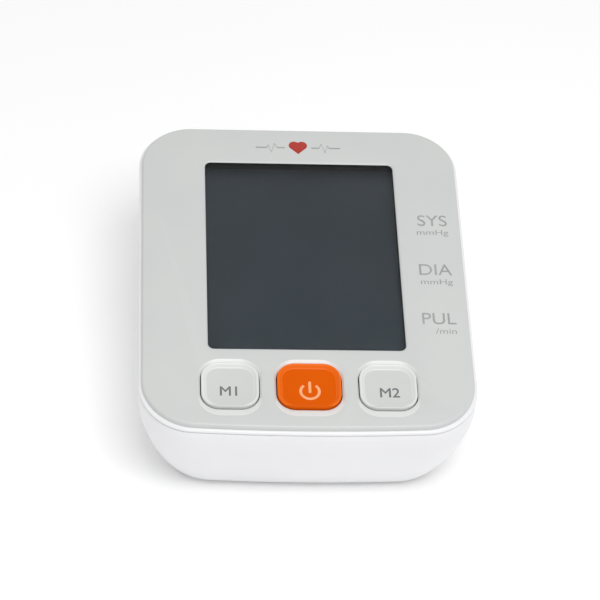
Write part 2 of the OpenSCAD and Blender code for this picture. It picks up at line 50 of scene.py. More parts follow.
BODY_W, BODY_L, FRONT_H = 114.4, 136.8, 38.5
HALF_X, HALF_Y = BODY_W / 2, BODY_L / 2
CORNER_R, FRONT_BOW, WALL = 18.0, 2.0, 2.2
BASE_INSET, BASE_Z = 9.5, 1.2
BELT, ROUNDNESS, DRAFT = 0.2, 1.33, 0.8
FACE_Z = FRONT_H + HALF_Y * SLOPE
PANEL_T, SPLIT_W, JOINT_GAP = 1.5, 2.9, 0.4
WINDOW, WINDOW_V, WINDOW_R = (67.6, 85.7), 8.55, 2.2
KEY_PITCH, KEY_V, CAP_R, KEY_GAP = 26.64, -50.3, 6.2, 0.35
SIDE_CAP, POWER_CAP = (19.4, 18.8), (21.6, 18.8)
CAP_LOW, CAP_WALL, POST_R = -5.2, 1.5, 2.2
FILM_T = 0.04
BOSSES = [(x, y) for x in (-43, 43) for y in (-40, 40)]
BOARD_POSTS = [(-13.9, -59.5), (13.9, -59.5), (-35.5, 59.5), (35.5, 59.5)]
FEET = [(x, y) for x in (-38.8, 38.8) for y in (-48, 49.3)]
FOOT_R, BOSS_SPLIT = 4.8, 16.0
SCREW_WELL_R, SCREW_WELL_TOP, SCREW_HOLE_R = 3.0, 9, 1.7
PUMP_AXIS, PUMP_ROOM_R, SADDLES_X = (-32, 16.2), 12.3, (-29, -15)
VALVE_SEAT, VALVE_XY = (15, 23, 1.9), (28, -38)
CELL_PITCH, CELL_Z = 14.6, 11.3
BAY_X, BAY_Y, BAY_TOP, BAY_WALL = 30.0, (-7.0, 50.5), 19.6, 1.6
DOOR_X, DOOR_FRONT, HINGE_Y, DOOR_T = 33.0, -10.5, 54.0, 2.4
HINGE_Z = BASE_Z + DOOR_T / 2
PIN_R, PIN_ROOM_R = 0.7, 0.76
JACK_Y, JACK_Z, JACK_FACE = 30.0, 28.6, -56.0
SOCKET_ROOM_R, FLANGE_ROOM_R = 6.3, 7.7
PORT_X, PORT_Z, PORT_HALF = 20.0, 32.0, (4.47, 1.63)


# ---------- Camera ----------

CAMERA_TURN, CAMERA_HEIGHT, CAMERA_ROLL = -6.39, 50, 5.68  # degrees
CAMERA_AIM, CAMERA_REACH = (-1.8, -12.75, 0), 913  # millimetres
CAMERA_SENSOR, CAMERA_LENS = 36, 159


def place_camera():
    """The camera's angles and aim are measured from the sloping face, not from the table."""
    turn, height, roll = [math.radians(a) for a in (CAMERA_TURN, CAMERA_HEIGHT, CAMERA_ROLL)]
    right = Vector((math.cos(turn), math.sin(turn), 0))
    back = Vector((math.sin(turn) * math.cos(height), -math.cos(turn) * math.cos(height),
                   math.sin(height)))
    up = back.cross(right)
    axes = [right * math.cos(roll) + up * math.sin(roll),
            up * math.cos(roll) - right * math.sin(roll), back]
    lean = Matrix.Rotation(TILT, 3, "X")
    aim = Vector((0, 0, FACE_Z)) + lean @ Vector(CAMERA_AIM)
    camera = bpy.data.objects.new("camera", bpy.data.cameras.new("camera"))
    bpy.context.collection.objects.link(camera)
    pose = Matrix([lean @ a for a in axes]).transposed().to_4x4()
    pose.translation = (aim + lean @ back * CAMERA_REACH) * MM
    camera.matrix_world = pose
    camera.data.sensor_width = CAMERA_SENSOR
    camera.data.lens = CAMERA_LENS
    camera.data.clip_start, camera.data.clip_end = 0.05, 20
    bpy.context.scene.camera = camera


# ---------- Bench tools ----------

def free_hands():
    """Leaves edit mode and lets go of everything."""
    if bpy.context.object and bpy.context.object.mode != "OBJECT":
        bpy.ops.object.mode_set(mode="OBJECT")
    bpy.ops.object.select_all(action="DESELECT")


def hold(piece, edit=False):
    """Selects one piece alone, and opens it for shaping if asked."""
    free_hands()
    piece.select_set(True)
    bpy.context.view_layer.objects.active = piece
    if edit:
        bpy.ops.object.mode_set(mode="EDIT")
        bpy.ops.mesh.select_mode(type="VERT")
    return piece


def named(name, edit=True):
    """Names the primitive that was just added and opens it for shaping."""
    piece = bpy.context.object
    piece.name = piece.data.name = name
    return hold(piece, edit)


def pick(kind, wanted):
    """In edit mode, selects only the faces, edges or corners that pass the test."""
    bpy.ops.mesh.select_mode(type=kind)
    bpy.ops.mesh.select_all(action="DESELECT")
    mesh = bmesh.from_edit_mesh(bpy.context.object.data)
    found = {"VERT": mesh.verts, "EDGE": mesh.edges, "FACE": mesh.faces}[kind]
    for item in found:
        if wanted(item):
            item.select_set(True)
    mesh.select_flush_mode()
    bmesh.update_edit_mesh(bpy.context.object.data)


def middle(item):
    """Middle of a face or an edge."""
    total = Vector((0, 0, 0))
    for v in item.verts:
        total += v.co
    return total / len(item.verts)


def grow(x, y, z=1.0, about=(0, 0, 0)):
    """Scales the selection about a place in millimetres."""
    bpy.ops.transform.resize(value=(x, y, z), center_override=[c * MM for c in about])


def shift(x, y, z):
    """Moves the selection by millimetres."""
    bpy.ops.transform.translate(value=(x * MM, y * MM, z * MM))


def close_up(piece, smooth=30):
    """Merges doubles, turns the faces outwards and shades by angle."""
    hold(piece, edit=True)
    bpy.ops.mesh.select_all(action="SELECT")
    bpy.ops.mesh.remove_doubles(threshold=0.000002)
    bpy.ops.mesh.normals_make_consistent(inside=False)
    hold(piece)
    bpy.ops.object.shade_smooth_by_angle(angle=math.radians(smooth))
    free_hands()
    return piece


def work(piece, kind, **settings):
    """Adds a modifier and applies it."""
    hold(piece)
    modifier = piece.modifiers.new(kind.lower(), kind)
    for key, value in settings.items():
        setattr(modifier, key, value)
    bpy.ops.object.modifier_apply(modifier=modifier.name)
    return piece


def carve(piece, tool, how="DIFFERENCE"):
    """Cuts one piece with another, or fuses them, and clears the tool away."""
    free_hands()
    work(piece, "BOOLEAN", object=tool, operation=how, solver="EXACT")
    bpy.data.objects.remove(tool)
    return piece


def move(piece, place):
    """Turns a piece as its own rotation says, then sets it down at a place in millimetres."""
    hold(piece)
    bpy.ops.object.transform_apply(rotation=True, scale=True)
    piece.location = [c * MM for c in place]
    bpy.ops.object.transform_apply(location=True)
    free_hands()
    return piece


def seat(piece, on_face=False, at=(0, 0, 0)):
    """Moves a finished piece to its place; face pieces lean with the face."""
    hold(piece)
    piece.location = [c * MM for c in at]
    bpy.ops.object.transform_apply(location=True, rotation=True, scale=True)
    if on_face:
        piece.rotation_euler.x = TILT
    piece.location = (0, 0, FACE_Z * MM if on_face else 0)
    bpy.ops.object.transform_apply(location=True, rotation=True, scale=True)
    free_hands()
    return piece


# ---------- Primitives brought to size ----------

def block(name, size, centre):
    """Plain box, for cutting with or for joining to a bigger piece."""
    free_hands()
    bpy.ops.mesh.primitive_cube_add(size=1)
    piece = named(name)
    bpy.ops.mesh.select_all(action="SELECT")
    bpy.ops.transform.resize(value=[s * MM for s in size])
    shift(*centre)
    free_hands()
    return piece


def rod(name, radius, start, length, axis="Z", sides=48, far_radius=None):
    """Round bar from start along X or Z; a second radius makes it taper."""
    free_hands()
    bpy.ops.mesh.primitive_cone_add(vertices=sides, radius1=radius * MM, depth=length * MM,
                                    radius2=(radius if far_radius is None else far_radius) * MM)
    piece = named(name, edit=False)
    piece.location.z = length * MM / 2
    bpy.ops.object.transform_apply(location=True)
    piece.rotation_euler = {"Z": (0, 0, 0), "X": (0, math.pi / 2, 0)}[axis]
    bpy.ops.object.transform_apply(rotation=True)
    piece.location = [c * MM for c in start]
    bpy.ops.object.transform_apply(location=True)
    free_hands()
    return piece


def rounded_sheet(name, size, radius, z=0.0, steps=10):
    """Flat sheet with round corners, lying level."""
    free_hands()
    bpy.ops.mesh.primitive_plane_add(size=1)
    piece = named(name)
    bpy.ops.mesh.select_all(action="SELECT")
    grow(size[0] * MM, size[1] * MM)
    bpy.ops.mesh.bevel(offset=radius * MM, offset_type="OFFSET", segments=steps, affect="VERTICES")
    bpy.ops.mesh.select_all(action="SELECT")
    shift(0, 0, z)
    return piece


def raise_face(rings):
    """Extrudes the selected face ring by ring; each ring is (inwards, upwards) from the last."""
    for inwards, upwards in rings:
        if abs(inwards) < 1e-9:
            bpy.ops.mesh.extrude_region()
            shift(0, 0, upwards)
        else:
            bpy.ops.mesh.inset(thickness=inwards * MM, depth=upwards * MM, use_even_offset=True)


def slab(name, size, radius, low, high, steps=10, centre=(0, 0)):
    """Plate with round corners between two heights."""
    piece = rounded_sheet(name, size, radius, low, steps)
    bpy.ops.mesh.extrude_region()
    shift(0, 0, high - low)
    bpy.ops.mesh.select_all(action="SELECT")
    bpy.ops.mesh.normals_make_consistent(inside=False)
    shift(centre[0], centre[1], 0)
    free_hands()
    return piece


def turned(name, profile, sides=64):
    """Round solid through (radius, height) rings, closed by its first and last ring."""
    free_hands()
    bpy.ops.mesh.primitive_circle_add(vertices=sides, radius=profile[0][0] * MM, fill_type="NGON")
    piece = named(name)
    bpy.ops.mesh.select_all(action="SELECT")
    shift(0, 0, profile[0][1])
    for old, new in zip(profile, profile[1:]):
        bpy.ops.mesh.extrude_region()
        grow(new[0] / old[0], new[0] / old[0], about=(0, 0, old[1]))
        shift(0, 0, new[1] - old[1])
    return close_up(piece)


def soften(piece, width, steps=3):
    """Rounds every sharp edge."""
    return work(piece, "BEVEL", width=width * MM, segments=steps, limit_method="ANGLE")


def copy_of(piece, name):
    """Another of the same piece, with its own mesh."""
    other = piece.copy()
    other.data = piece.data.copy()
    other.name = other.data.name = name
    bpy.context.collection.objects.link(other)
    return other


# ---------- Casing forms ----------

CORNER_LOSS = 0.35  # how much of an inset comes off the corner radius
BOW_CUTS = 15


def joint_height(depth):
    """Height of the plane that lies this deep below the face, at the middle of the casing."""
    return FACE_Z - depth / math.cos(TILT)


def casing_sheet(name, inset, depth):
    """Plan of the casing at a depth below the face; its front corners stand back."""
    half_x, half_y = HALF_X - inset, HALF_Y - inset
    front = (FRONT_BOW / 2 - half_y) * MM
    size = (2 * half_x, 2 * half_y - FRONT_BOW)
    piece = rounded_sheet(name, size, CORNER_R - CORNER_LOSS * inset, 0, steps=20)
    pick("EDGE", lambda e: abs(middle(e).y - front) < 1e-6 and e.calc_length() > 0.02)
    bpy.ops.mesh.subdivide(number_cuts=BOW_CUTS)
    pick("VERT", lambda v: abs(v.co.y - front) < 1e-6 and abs(v.co.x) < 1e-5)
    bpy.ops.transform.translate(value=(0, -FRONT_BOW * MM, 0), use_proportional_edit=True,
                                proportional_edit_falloff="INVERSE_SQUARE",
                                proportional_size=half_x * MM)
    bpy.ops.mesh.select_all(action="SELECT")
    shift(0, FRONT_BOW / 2, 0)
    bpy.ops.transform.rotate(value=-TILT, orient_axis="X", center_override=(0, 0, 0))
    grow(1, 1 / math.cos(TILT), 1 / math.cos(TILT))
    shift(0, 0, joint_height(depth))
    return piece


def next_ring(old, new):
    """Extrudes the held face to the next ring; a ring is (inset, lean, height)."""
    x = (HALF_X - new[0]) / (HALF_X - old[0])
    y = (HALF_Y - new[0]) / (HALF_Y - old[0])
    lean = new[1] / old[1] if old[1] else 1
    bpy.ops.mesh.extrude_region()
    grow(x, y, y * lean, about=(0, 0, old[2]))
    shift(0, 0, new[2] - old[2])


def follow_rings(rings):
    """Extrudes the held face through every ring of a list."""
    for old, new in zip(rings, rings[1:]):
        next_ring(old, new)


def draw_in(s):
    """How far the lower casing's side stands in from the joint's outline at a share s of its height."""
    fall = max(0.0, (s - BELT) / (1 - BELT))
    return BASE_INSET * (1 - (1 - fall ** ROUNDNESS) ** (1 / ROUNDNESS)) + DRAFT * s


def side_rings(shrink, base, count):
    """Rings of the lower casing from its sloping joint (s = 0) to its level base (s = 1)."""
    top = joint_height(SPLIT_W + JOINT_GAP)
    shares = [math.sin(math.pi / 2 * k / count) for k in range(count + 1)]
    return [(draw_in(s) + shrink, 1 - s, top * (1 - s) + base * s) for s in shares]


# ---------- Finishes ----------

def finish(name):
    """A new material with its node tree and its shader."""
    material = bpy.data.materials.new(name)
    material.use_nodes = True
    return material, material.node_tree, material.node_tree.nodes["Principled BSDF"]


def part_of(tree, kind, **settings):
    """Adds a node; a setting is an input by its name, or one of the node's own choices."""
    node = tree.nodes.new("ShaderNode" + kind)
    for key, value in settings.items():
        label = key.replace("_", " ").capitalize()
        if hasattr(node, key):
            setattr(node, key, value)
        else:
            node.inputs[label].default_value = value
    return node


def cloud(tree, place, scale, detail=2.0, roughness=0.5):
    """Cloudy noise."""
    noise = part_of(tree, "TexNoise", scale=scale, detail=detail, roughness=roughness)
    tree.links.new(place, noise.inputs["Vector"])
    return noise.outputs[0]


def shades(tree, factor, stops):
    """Colour ramp through (position, colour) stops."""
    ramp = part_of(tree, "ValToRGB")
    while len(ramp.color_ramp.elements) < len(stops):
        ramp.color_ramp.elements.new(0.5)
    for element, (position, colour) in zip(ramp.color_ramp.elements, stops):
        element.position = position
        element.color = (*colour, 1)
    tree.links.new(factor, ramp.inputs[0])
    return ramp.outputs[0]


def spread(tree, value, low, high):
    """Brings the middle half of a noise to a range."""
    scale = part_of(tree, "MapRange")
    scale.inputs["From Min"].default_value, scale.inputs["From Max"].default_value = 0.25, 0.75
    scale.inputs["To Min"].default_value, scale.inputs["To Max"].default_value = low, high
    tree.links.new(value, scale.inputs["Value"])
    return scale.outputs[0]


def skin(tree, shader, height, strength, distance):
    """Gives the shader a fine relief."""
    bump = part_of(tree, "Bump")
    bump.inputs["Strength"].default_value = strength
    bump.inputs["Distance"].default_value = distance
    tree.links.new(height, bump.inputs["Height"])
    tree.links.new(bump.outputs[0], shader.inputs["Normal"])


def multiply(tree, colour, other):
    """One colour multiplied by another."""
    mix = part_of(tree, "Mix", data_type="RGBA", blend_type="MULTIPLY")
    mix.inputs["Factor"].default_value = 1
    tree.links.new(colour, mix.inputs["A"])
    tree.links.new(other, mix.inputs["B"])
    return mix.outputs["Result"]


def place_of(tree):
    return tree.nodes.new("ShaderNodeTexCoord").outputs["Object"]


def moulded(name, light, dark, gloss, grain=700, depth=0.05, coat=0.0, patch=38, fleck=0.0, shine=0.5):
    """Moulded plastic or rubber: cloudy colour, uneven gloss and a fine moulded skin."""
    material, tree, shader = finish(name)
    place = place_of(tree)
    flow = cloud(tree, place, patch, 4.0, 0.55)
    colour = shades(tree, flow, [(0.3, dark), (0.7, light)])
    if fleck:
        dust = shades(tree, cloud(tree, place, 900, 2.0), [(0.3, (1 - fleck,) * 3), (0.55, (1, 1, 1))])
        colour = multiply(tree, colour, dust)
    tree.links.new(colour, shader.inputs["Base Color"])
    tree.links.new(spread(tree, cloud(tree, place, patch * 3, 3.0), gloss * 0.85, gloss * 1.15),
                   shader.inputs["Roughness"])
    skin(tree, shader, cloud(tree, place, grain, 3.0, 0.6), depth, 0.00004)
    shader.inputs["Specular IOR Level"].default_value = shine
    shader.inputs["Coat Weight"].default_value = coat
    shader.inputs["Coat Roughness"].default_value = 0.12
    return material


def rolled_metal(name, light, dark, gloss, stretch=(1, 1, 40)):
    """Rolled or drawn metal with fine streaks along one way."""
    material, tree, shader = finish(name)
    turn = part_of(tree, "Mapping")
    turn.inputs["Scale"].default_value = stretch
    tree.links.new(place_of(tree), turn.inputs["Vector"])
    streak = cloud(tree, turn.outputs[0], 120, 5.0, 0.6)
    tree.links.new(shades(tree, streak, [(0.3, dark), (0.7, light)]), shader.inputs["Base Color"])
    tree.links.new(spread(tree, streak, gloss * 0.8, gloss * 1.25), shader.inputs["Roughness"])
    skin(tree, shader, streak, 0.12, 0.00003)
    shader.inputs["Metallic"].default_value = 1.0
    return material


def clear_window(name):
    """Clear acrylic with a faint, cloudy tint."""
    material, tree, shader = finish(name)
    tint = [(0.3, (0.93, 0.96, 0.97)), (0.7, (0.97, 0.98, 0.98))]
    tree.links.new(shades(tree, cloud(tree, place_of(tree), 30), tint), shader.inputs["Base Color"])
    shader.inputs["Roughness"].default_value = 0.01
    shader.inputs["Transmission Weight"].default_value = 1.0
    shader.inputs["IOR"].default_value = 1.25
    return material


def display_glass(name):
    """Unlit segment display: a dark blue-grey film, with painted shade along its far edge."""
    material, tree, shader = finish(name)
    place = place_of(tree)
    along = part_of(tree, "SeparateXYZ")
    tree.links.new(place, along.inputs[0])
    along_to_far_shade = part_of(tree, "MapRange")
    along_to_far_shade.inputs["From Min"].default_value, along_to_far_shade.inputs["From Max"].default_value = -0.036, 0.054
    tree.links.new(along.outputs["Y"], along_to_far_shade.inputs["Value"])
    # Painted shade: the last stop darkens the far edge of the film, as the shadow of the window's edge
    # would.
    film = shades(tree, along_to_far_shade.outputs[0], [(0.0, (0.033, 0.046, 0.057)), (0.9, (0.032, 0.042, 0.052)),
                                          (1.0, (0.016, 0.019, 0.024))])
    smoke = shades(tree, cloud(tree, place, 55, 4.0), [(0.3, (0.9, 0.9, 0.9)), (0.7, (1, 1, 1))])
    tree.links.new(multiply(tree, film, smoke), shader.inputs["Base Color"])
    tree.links.new(spread(tree, cloud(tree, place, 40, 2.0), 0.32, 0.38), shader.inputs["Roughness"])
    shader.inputs["Specular IOR Level"].default_value = 0.2
    return material


def circuit_green(name):
    """Solder mask over copper tracks, with small tinned pads."""
    material, tree, shader = finish(name)
    place = place_of(tree)
    tracks = part_of(tree, "TexBrick", scale=260.0)
    tracks.inputs["Mortar Size"].default_value = 0.06
    tracks.inputs["Color1"].default_value = (0.012, 0.09, 0.035, 1)
    tracks.inputs["Color2"].default_value = (0.016, 0.12, 0.045, 1)
    tracks.inputs["Mortar"].default_value = (0.03, 0.2, 0.07, 1)
    tree.links.new(place, tracks.inputs["Vector"])
    pads = part_of(tree, "TexVoronoi", scale=240.0)
    tree.links.new(place, pads.inputs["Vector"])
    spots = shades(tree, pads.outputs["Distance"], [(0.1, (1, 1, 1)), (0.14, (0, 0, 0))])
    mix = part_of(tree, "Mix", data_type="RGBA")
    tree.links.new(spots, mix.inputs["Factor"])
    tree.links.new(tracks.outputs["Color"], mix.inputs["A"])
    mix.inputs["B"].default_value = (0.5, 0.5, 0.48, 1)
    tree.links.new(mix.outputs["Result"], shader.inputs["Base Color"])
    tree.links.new(spread(tree, cloud(tree, place, 500), 0.28, 0.42), shader.inputs["Roughness"])
    skin(tree, shader, tracks.outputs["Color"], 0.2, 0.00005)
    return material


FINISHES = {
    "casing_white": moulded("casing_white", (0.82, 0.82, 0.83), (0.795, 0.795, 0.81), 0.32),
    "panel_grey": moulded("panel_grey", (0.585, 0.6, 0.585), (0.565, 0.58, 0.575), 0.36),
    "key_grey": moulded("key_grey", (0.6, 0.61, 0.59), (0.575, 0.585, 0.575), 0.34),
    "key_orange": moulded("key_orange", (0.69, 0.1, 0.0), (0.65, 0.093, 0.0), 0.4, shine=0.05),
    "window_clear": clear_window("window_clear"),
    "lcd_dark": display_glass("lcd_dark"),
    "gasket_black": moulded("gasket_black", (0.012, 0.012, 0.013), (0.006, 0.006, 0.007), 0.6, 1500),
    "frame_plastic": moulded("frame_plastic", (0.8, 0.8, 0.78), (0.7, 0.7, 0.68), 0.42),
    "light_guide": moulded("light_guide", (0.75, 0.82, 0.86), (0.68, 0.76, 0.8), 0.2, coat=0.3),
    "zebra_rubber": moulded("zebra_rubber", (0.5, 0.42, 0.38), (0.12, 0.11, 0.11), 0.6, patch=900),
    "circuit_board": circuit_green("circuit_board"),
    "chip_black": moulded("chip_black", (0.03, 0.03, 0.033), (0.014, 0.014, 0.016), 0.5, 1800, 0.5),
    "board_parts": moulded("board_parts", (0.42, 0.33, 0.22), (0.16, 0.12, 0.08), 0.4, patch=260),
    "sensor_cream": moulded("sensor_cream", (0.8, 0.78, 0.68), (0.7, 0.68, 0.58), 0.4),
    "steel": rolled_metal("steel", (0.7, 0.71, 0.73), (0.48, 0.49, 0.52), 0.28),
    "silicone": moulded("silicone", (0.78, 0.77, 0.72), (0.66, 0.65, 0.6), 0.5, coat=0.05),
    "foam_black": moulded("foam_black", (0.05, 0.05, 0.05), (0.008, 0.008, 0.008), 0.85, 900, 1.0,
                          patch=500),
    "feet_rubber": moulded("feet_rubber", (0.05, 0.05, 0.052), (0.025, 0.025, 0.027), 0.62, 1600, 0.5,
                           fleck=0.3),
    "socket_grey": moulded("socket_grey", (0.11, 0.112, 0.12), (0.07, 0.072, 0.078), 0.38, coat=0.1),
    "battery_jacket": moulded("battery_jacket", (0.045, 0.047, 0.052), (0.03, 0.031, 0.035), 0.26),
    "wire_jacket": moulded("wire_jacket", (0.5, 0.05, 0.03), (0.05, 0.012, 0.01), 0.4, patch=120),
}
INKS_AND_HIGHLIGHTS = {
    "legend_ink": moulded("legend_ink", (0.34, 0.365, 0.365), (0.28, 0.3, 0.3), 0.45, patch=300),
    "key_ink": moulded("key_ink", (0.17, 0.175, 0.185), (0.13, 0.135, 0.14), 0.45, patch=300),
    # Lighter copies of the panel and key finishes: painted highlights for the key hollows and the key
    # rims.
    "rim_white": moulded("rim_white", (0.72, 0.73, 0.72), (0.7, 0.71, 0.7), 0.3),
    "rim_orange": moulded("rim_orange", (0.82, 0.14, 0.001), (0.78, 0.13, 0.001), 0.34, shine=0.2),
    "power_ink": moulded("power_ink", (0.95, 0.42, 0.2), (0.9, 0.36, 0.16), 0.4, patch=300),
    "heart_ink": moulded("heart_ink", (0.44, 0.032, 0.02), (0.38, 0.026, 0.016), 0.4, patch=300),
    "cell_band": rolled_metal("cell_band", (0.62, 0.3, 0.13), (0.5, 0.22, 0.09), 0.3, (1, 40, 1)),
}


def dress(piece, slot, body, *nodes, ink_or_highlight=None):
    """Gives a new piece its finish, the body it rides on and the CAD nodes it stands for."""
    piece.data.materials.clear()
    piece.data.materials.append(INKS_AND_HIGHLIGHTS[ink_or_highlight] if ink_or_highlight else FINISHES[slot])
    if nodes:
        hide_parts(*nodes)
    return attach(piece, body)


# ---------- Casing pieces ----------

def make_lower_casing():
    """Bowl of the casing with its bosses, battery bay, saddles, sockets and door opening."""
    top = joint_height(SPLIT_W + JOINT_GAP)
    piece = casing_sheet("lower_casing", WALL, SPLIT_W + JOINT_GAP)
    follow_rings(side_rings(WALL, BASE_Z + WALL, 9))
    free_hands()
    hold(piece, edit=True)
    pick("FACE", lambda f: middle(f).z > (BASE_Z + WALL + 2) * MM and len(f.verts) > 20)
    lip = [(WALL, 1, top), (0.3, 1, top), (0.09, 1, top - 0.09), (0, 1, top - 0.3)]
    follow_rings(lip + side_rings(0, BASE_Z, 18)[1:])
    close_up(piece)
    inside = casing_sheet("inside", 0.5, SPLIT_W + JOINT_GAP + 0.3)
    follow_rings([(0.5, 1, top - 0.3)] + side_rings(0.5, BASE_Z + 0.2, 9)[1:])
    close_up(inside)
    fittings = [rod("boss", 4, (x, y, BASE_Z), BOSS_SPLIT - BASE_Z) for x, y in BOSSES]
    depth = BAY_Y[1] - BAY_Y[0]
    bay_size = (2 * (BAY_X + BAY_WALL), depth + 2 * BAY_WALL, BAY_TOP + BAY_WALL - BASE_Z)
    fittings.append(block("bay", bay_size, (0, sum(BAY_Y) / 2, (BAY_TOP + BAY_WALL + BASE_Z) / 2)))
    fittings.append(block("ledge", (2 * DOOR_X + 4, HINGE_Y - DOOR_FRONT + 5, 2.4),
                          (0, (DOOR_FRONT + HINGE_Y) / 2 + 0.5, BASE_Z + WALL + 1.0)))
    for x in SADDLES_X:
        saddle = block("saddle", (2, 26, 13), (x, PUMP_AXIS[0], BASE_Z + 7))
        fittings.append(carve(saddle, rod("cradle", PUMP_ROOM_R, (x - 2, *PUMP_AXIS), 4, "X")))
    for side in (-1, 1):
        fittings.append(block("hinge_lug", (3, 5, 4.4), (side * (DOOR_X + 1.9), HINGE_Y, BASE_Z + 2.2)))
        fittings.append(block("board_rail", (1.6, 20, 5), (PORT_X + side * 7.6, 60, 29)))
    fittings.append(block("valve_seat", VALVE_SEAT, (*VALVE_XY, BASE_Z + 1.95)))
    core = fittings[0]
    for part in fittings[1:]:
        carve(core, part, "UNION")
    carve(piece, carve(core, inside, "INTERSECT"), "UNION")
    low = BASE_Z - 1
    openings = [
        block("bay_room", (2 * BAY_X, depth, BAY_TOP - low), (0, sum(BAY_Y) / 2, (BAY_TOP + low) / 2)),
        block("door_room", (2 * DOOR_X + 0.6, HINGE_Y - DOOR_FRONT + 0.3, DOOR_T + 1.3),
              (0, (HINGE_Y + DOOR_FRONT - 0.3) / 2, low + (DOOR_T + 1.3) / 2)),
        rod("hinge_room", DOOR_T / 2 + 0.3, (-DOOR_X - 0.3, HINGE_Y, HINGE_Z), 2 * DOOR_X + 0.6, "X"),
        block("hinge_slot", (2 * DOOR_X + 0.6, DOOR_T / 2 + 0.3, 1 + DOOR_T / 2),
              (0, HINGE_Y + (DOOR_T / 2 + 0.3) / 2, low + (1 + DOOR_T / 2) / 2)),
        rod("pin_room", PIN_ROOM_R, (-DOOR_X - 2.3, HINGE_Y, HINGE_Z), 2 * DOOR_X + 4.6, "X"),
        block("latch_room", (13, 2.2, 4.4), (0, DOOR_FRONT + 2.4, BASE_Z + 2.2)),
        rod("socket_room", SOCKET_ROOM_R, (-HALF_X - 1, JACK_Y, JACK_Z), 9, "X", 64),
        rod("flange_room", FLANGE_ROOM_R, (JACK_FACE + 4.3, JACK_Y, JACK_Z), 3.7, "X", 64),
        block("board_slot", (14.4, 12.8, 1.2), (PORT_X, HALF_Y - 9.2, PORT_Z - 2.2)),
    ]
    port = slab("port_room", [2 * h + 0.4 for h in PORT_HALF], PORT_HALF[1] + 0.19, 0, 12)
    port.rotation_euler.x = -math.pi / 2
    openings.append(move(port, (PORT_X, HALF_Y - 8, PORT_Z)))
    for side in (-1, 1):
        openings.append(block("tab_slot", (4.4, 1.2, 4), (side * 21.9, BAY_Y[0] + 0.2, BAY_TOP + 1)))
    for x, y in BOSSES:
        openings.append(rod("screw_well", SCREW_WELL_R + 0.3, (x, y, BASE_Z - 0.01), 0.31,
                            far_radius=SCREW_WELL_R))
        openings.append(rod("screw_well", SCREW_WELL_R, (x, y, low), SCREW_WELL_TOP - low))
        openings.append(rod("screw_hole", SCREW_HOLE_R, (x, y, 0), BOSS_SPLIT + 1))
    for x, y in FEET:
        openings.append(rod("foot_room", FOOT_R + 0.1, (x, y, 0), BASE_Z + 1))
    for tool in openings:
        carve(piece, tool)
    seat(close_up(piece))
    return dress(piece, "casing_white", "housing", "bottom_shell")


def on_panel(piece, u, v, w=0.0):
    """Lays a level tool on the sloping face, u across it, v up it and w out of it."""
    move(piece, (u, v, w))
    piece.rotation_euler.x = TILT
    return move(piece, (0, 0, FACE_Z))


def cap_size(index):
    """Width and length of a key cap, counted from the left."""
    return POWER_CAP if index == 1 else SIDE_CAP


def key_rooms(depth):
    """Cutters for the three key openings."""
    rooms = []
    for index in range(3):
        size = [s + 2 * KEY_GAP for s in cap_size(index)]
        room = slab("key_room", size, CAP_R + KEY_GAP, -depth, 2)
        rooms.append(on_panel(room, (index - 1) * KEY_PITCH, KEY_V))
    return rooms


def make_upper_casing():
    """Frame of the face, with the tongue that seats inside the lower half."""
    piece = casing_sheet("upper_casing", 3.6, SPLIT_W)
    tongue = [(3.6, SPLIT_W), (3.6, 4.9), (3.5, 4.9), (2.5, 4.3), (2.3, 4.0), (2.3, SPLIT_W)]
    band = [(0.15, SPLIT_W), (0.05, 2.85), (0, 2.75), (0, 2.45), (0.05, 2.25), (0.2, 2.03), (0.5, 1.86),
            (1.9, 1.8), (1.9, PANEL_T)]
    follow_rings([(inset, 1, joint_height(depth)) for inset, depth in tongue + band])
    close_up(piece)
    for x, y in BOSSES:
        top = FACE_Z + y * SLOPE - 2.3
        carve(piece, rod("boss", 3.2, (x, y, BOSS_SPLIT), top - BOSS_SPLIT), "UNION")
        carve(piece, rod("boss_hole", 1.5, (x, y, BOSS_SPLIT - 1), 14))
    for u, v in BOARD_POSTS:
        carve(piece, on_panel(rod("post", 2.2, (0, 0, 0), 7.5), u, v, -10), "UNION")
        carve(piece, on_panel(rod("post_hole", 1.0, (0, 0, 0), 6), u, v, -11))
    window = slab("window_room", [s + 2.8 for s in WINDOW], WINDOW_R + 1.4, -6, 2)
    for tool in [on_panel(window, 0, WINDOW_V)] + key_rooms(8):
        carve(piece, tool)
    seat(close_up(piece))
    return dress(piece, "casing_white", "housing", "top_shell")


def funnel(name, size, radius, profile):
    """Cutter that narrows downwards; profile gives (outset, height) from the top."""
    first = profile[0]
    piece = rounded_sheet(name, [s + 2 * first[0] for s in size], radius + first[0], first[1])
    raise_face([(a[0] - b[0], b[1] - a[1]) for a, b in zip(profile, profile[1:])])
    return close_up(piece)


def key_dish(size):
    """Cutter for the hollow round a key; its wall leans further on the near side."""
    stages = [(1.1, 0.5), (1.1, 0.03), (1.0, -0.01), (0.9, -0.07), (0.75, -0.18), (0.0, -0.7)]
    sizes = [(size[0] + 0.8 + 1.3 * t, size[1] + 0.8 + 4.4 * t, -0.7 * t, z) for t, z in stages]
    piece = rounded_sheet("key_dish", sizes[0][:2], CAP_R + 1.6, stages[0][1])
    shift(0, sizes[0][2], 0)
    for old, new in zip(sizes, sizes[1:]):
        bpy.ops.mesh.extrude_region()
        grow(new[0] / old[0], new[1] / old[1], about=(0, old[2], old[3]))
        shift(0, new[2] - old[2], new[3] - old[3])
    return close_up(piece)


def is_dish_wall(u, v):
    """Whether a place on the face lies in the hollow round a key."""
    index = max(0, min(2, round(u / KEY_PITCH) + 1))
    size = cap_size(index)
    return (abs(u - (index - 1) * KEY_PITCH) < size[0] / 2 + 1.3
            and abs(v - KEY_V + 0.7) < size[1] / 2 + 2.8)


